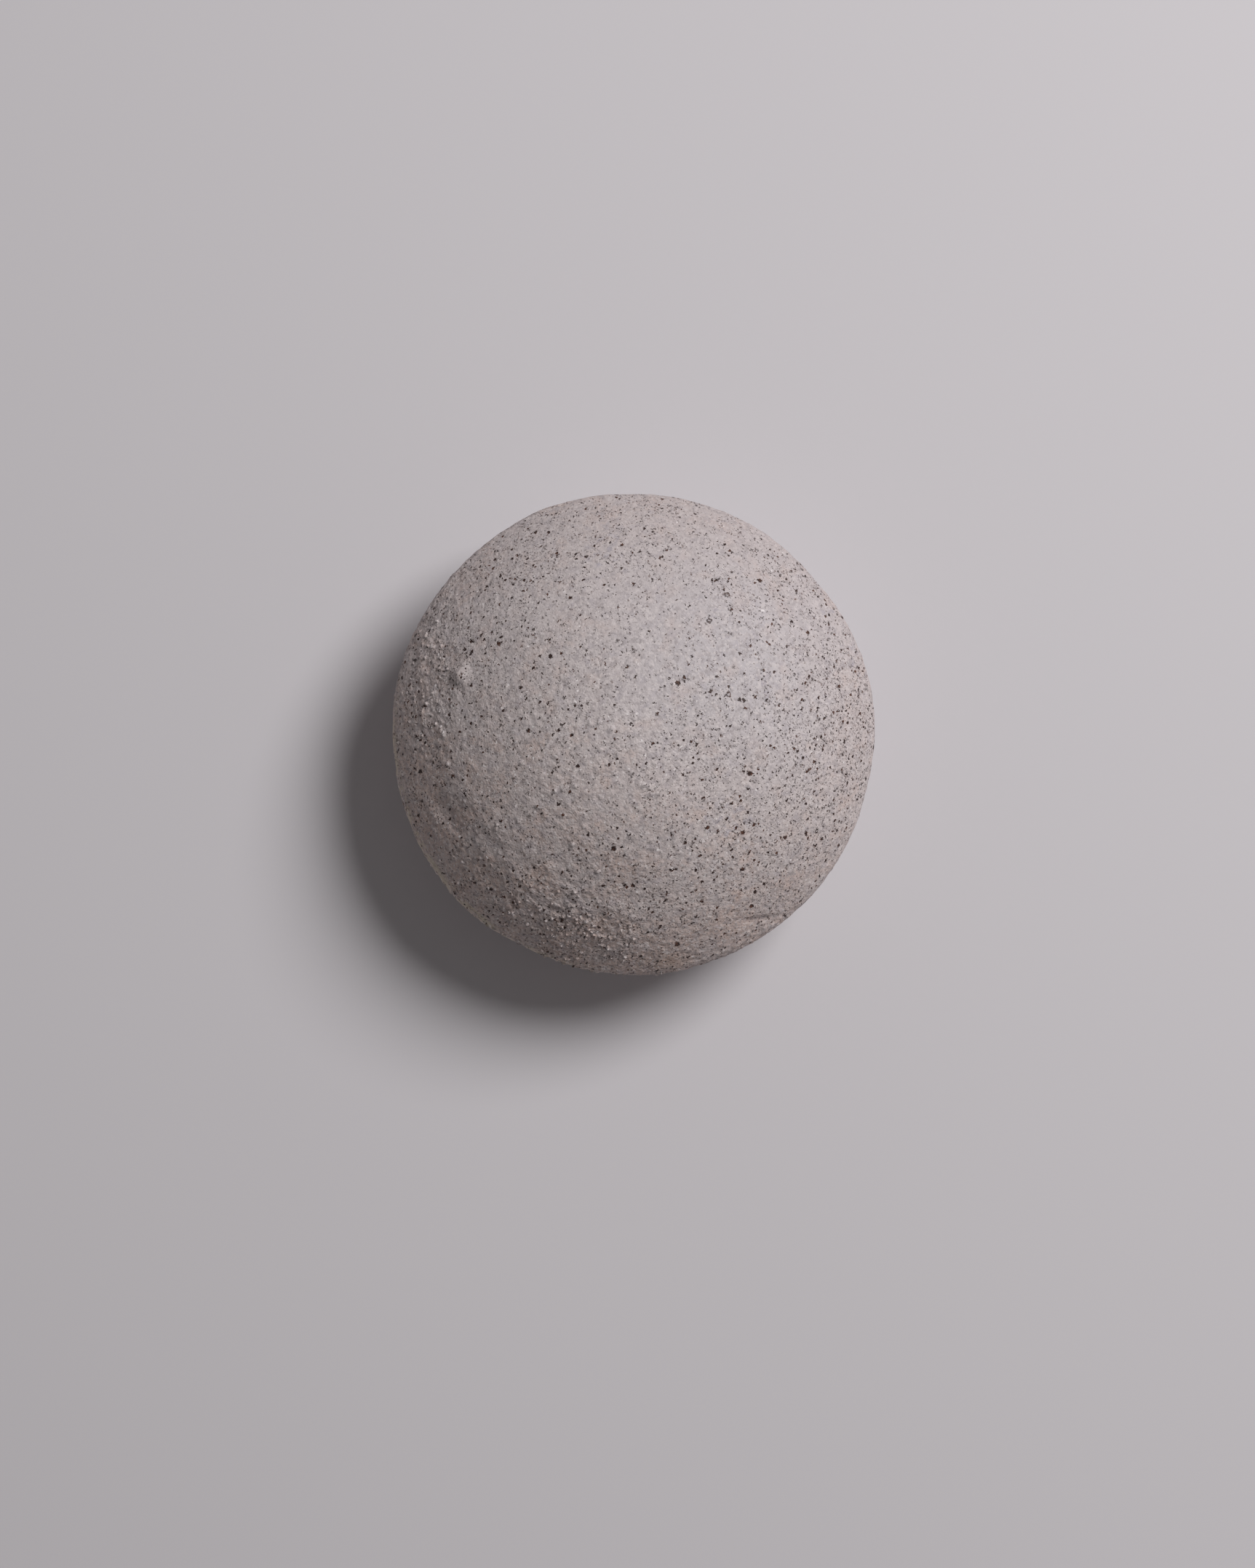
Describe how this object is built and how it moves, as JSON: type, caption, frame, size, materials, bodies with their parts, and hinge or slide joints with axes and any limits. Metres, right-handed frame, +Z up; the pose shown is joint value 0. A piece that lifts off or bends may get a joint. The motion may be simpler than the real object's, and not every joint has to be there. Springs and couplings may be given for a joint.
{
  "type": "granodiorite cobble",
  "caption": "Round speckled stone, domed above with a firm rim all round, curving in underneath to a small flat spot on which it rests.",
  "frame": {"origin": "in the middle of the stone's plan, on the surface that its flat spot rests on", "axes": "+Z up through the top of the dome; seen from above in the picture, +X is to the right and +Y is towards the top of the picture"},
  "size_m": [0.1501, 0.1498, 0.0755],
  "materials": {
    "granodiorite": "dry, matt, fine-grained stone, pinkish grey with many black-brown mineral flecks, slightly pinker and paler towards the rim"
  },
  "bodies": {
    "root": {"granodiorite": "granodiorite"}
  },
  "joints": []
}
